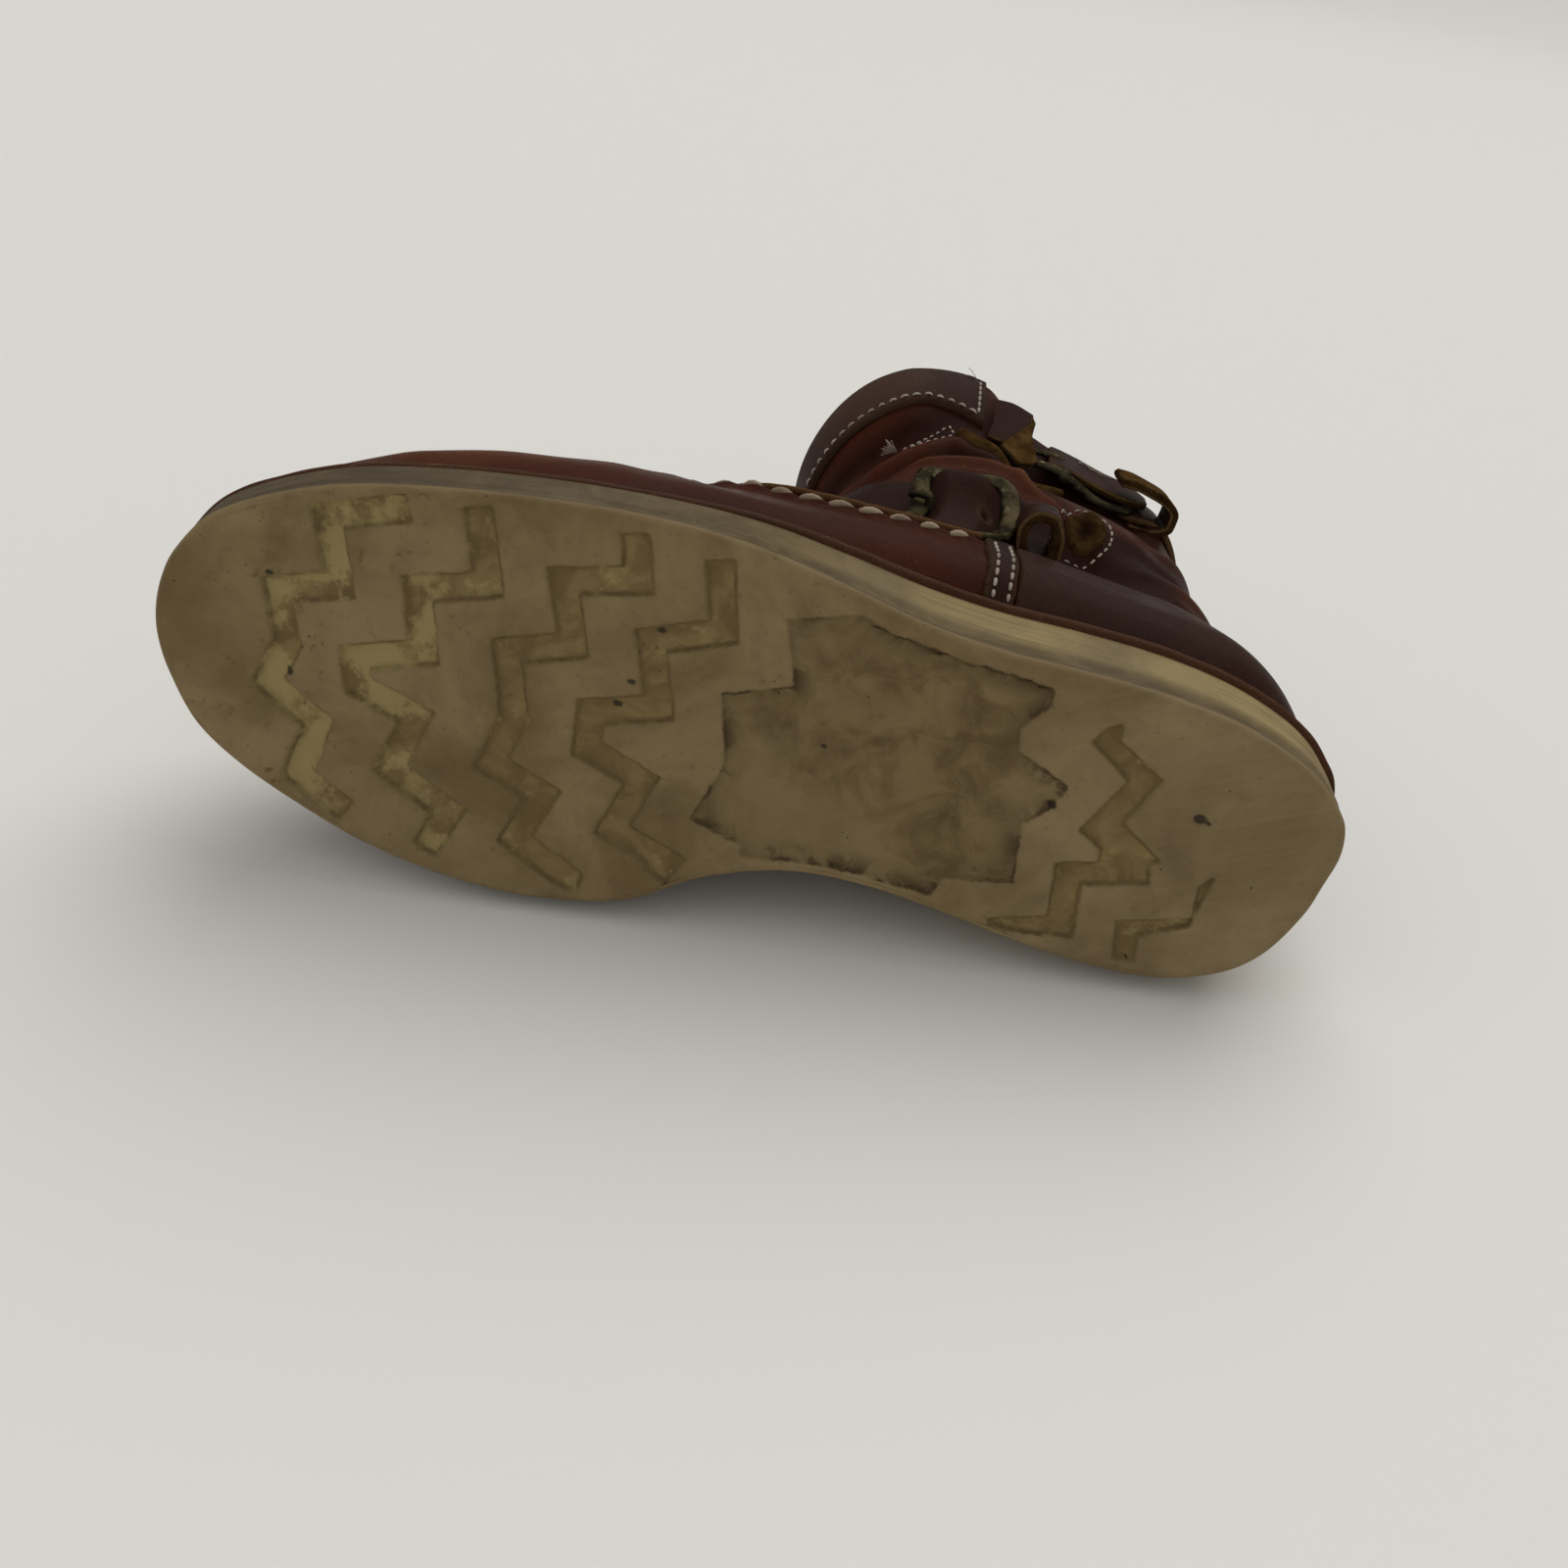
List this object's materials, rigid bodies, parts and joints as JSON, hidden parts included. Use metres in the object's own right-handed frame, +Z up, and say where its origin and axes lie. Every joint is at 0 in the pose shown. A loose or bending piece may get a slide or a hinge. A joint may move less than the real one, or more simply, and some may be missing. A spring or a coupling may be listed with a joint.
{
  "type": "engineer boot",
  "caption": "Pull-on engineer boot with a flat wedge sole, moccasin seam, heel counter, instep strap and collar strap with buckles, lying on its side.",
  "frame": {"origin": "centre of the bounding box in plan, at floor height", "axes": "+Z up from the floor, towards the lateral side; -X towards the toe; -Y is the way the tread faces, tilted a little up"},
  "size_m": [0.3102, 0.1968, 0.109],
  "materials": {
    "rubber": "matt, worn",
    "welt": "satin edge",
    "board": "matt",
    "leather": "oiled pull-up, satin",
    "dark_leather": "oiled, satin",
    "strap_leather": "oiled, satin",
    "suede": "raw split, matt",
    "metal": "antique plated, worn"
  },
  "bodies": {
    "root": {"outsole": "rubber", "midsole": "welt", "insole": "board", "upper": "leather", "counter": "dark_leather", "counter_strip_lateral": "dark_leather", "counter_strip_medial": "dark_leather", "collar_band": "dark_leather", "instep_strap": "dark_leather", "instep_chape": "dark_leather", "instep_buckle": "metal", "instep_prong": "metal", "instep_keeper": "suede", "collar_strap": "strap_leather", "collar_chape": "strap_leather", "collar_buckle": "metal", "collar_prong": "metal", "collar_keeper": "suede"}
  },
  "joints": []
}
